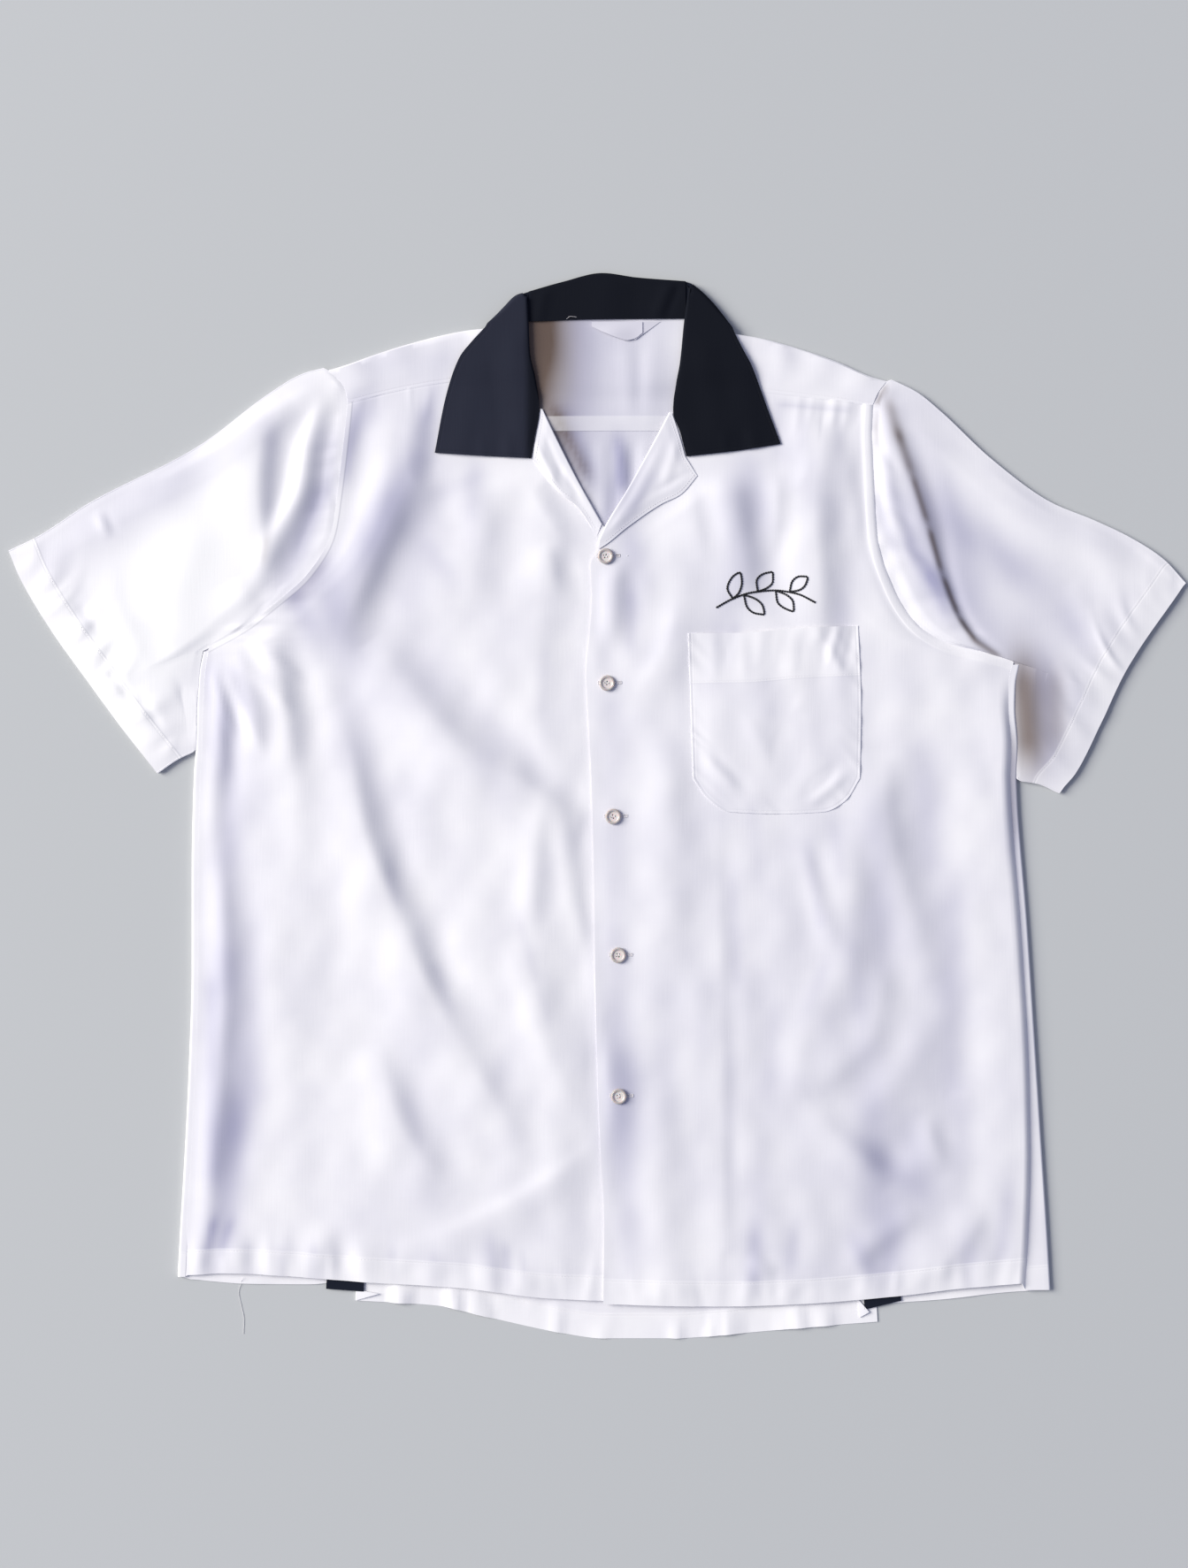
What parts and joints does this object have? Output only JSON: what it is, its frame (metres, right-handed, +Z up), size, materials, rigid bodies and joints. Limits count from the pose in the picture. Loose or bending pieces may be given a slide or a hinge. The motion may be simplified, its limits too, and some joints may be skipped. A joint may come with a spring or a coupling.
{
  "type": "bowling shirt",
  "caption": "Short-sleeved two-tone bowling shirt with an open camp collar, chest pocket and pleated back, buttoned and laid flat.",
  "frame": {"origin": "middle of the shirt's outline on the surface it lies on", "axes": "+X to the right as seen from above, +Y towards the collar, +Z up through the front"},
  "size_m": [0.8506, 0.7705, 0.0135],
  "materials": {
    "white_rayon": "soft sheen, plain weave",
    "black_rayon": "matt, plain weave",
    "white_ribbon": "satin ribbon, blank",
    "smoky_pearl": "polished, pearly"
  },
  "bodies": {
    "root": {"back_centre": "white_rayon", "back_side_left": "white_rayon", "back_side_right": "white_rayon", "gusset_left": "black_rayon", "gusset_right": "black_rayon", "yoke": "white_rayon", "front_left": "white_rayon", "front_right": "white_rayon", "lapel_left": "white_rayon", "lapel_right": "white_rayon", "collar": "black_rayon", "sleeve_left": "white_rayon", "sleeve_right": "white_rayon", "pocket": "white_rayon", "label": "white_ribbon", "button_1": "smoky_pearl", "button_2": "smoky_pearl", "button_3": "smoky_pearl", "button_4": "smoky_pearl", "button_5": "smoky_pearl"}
  },
  "joints": []
}
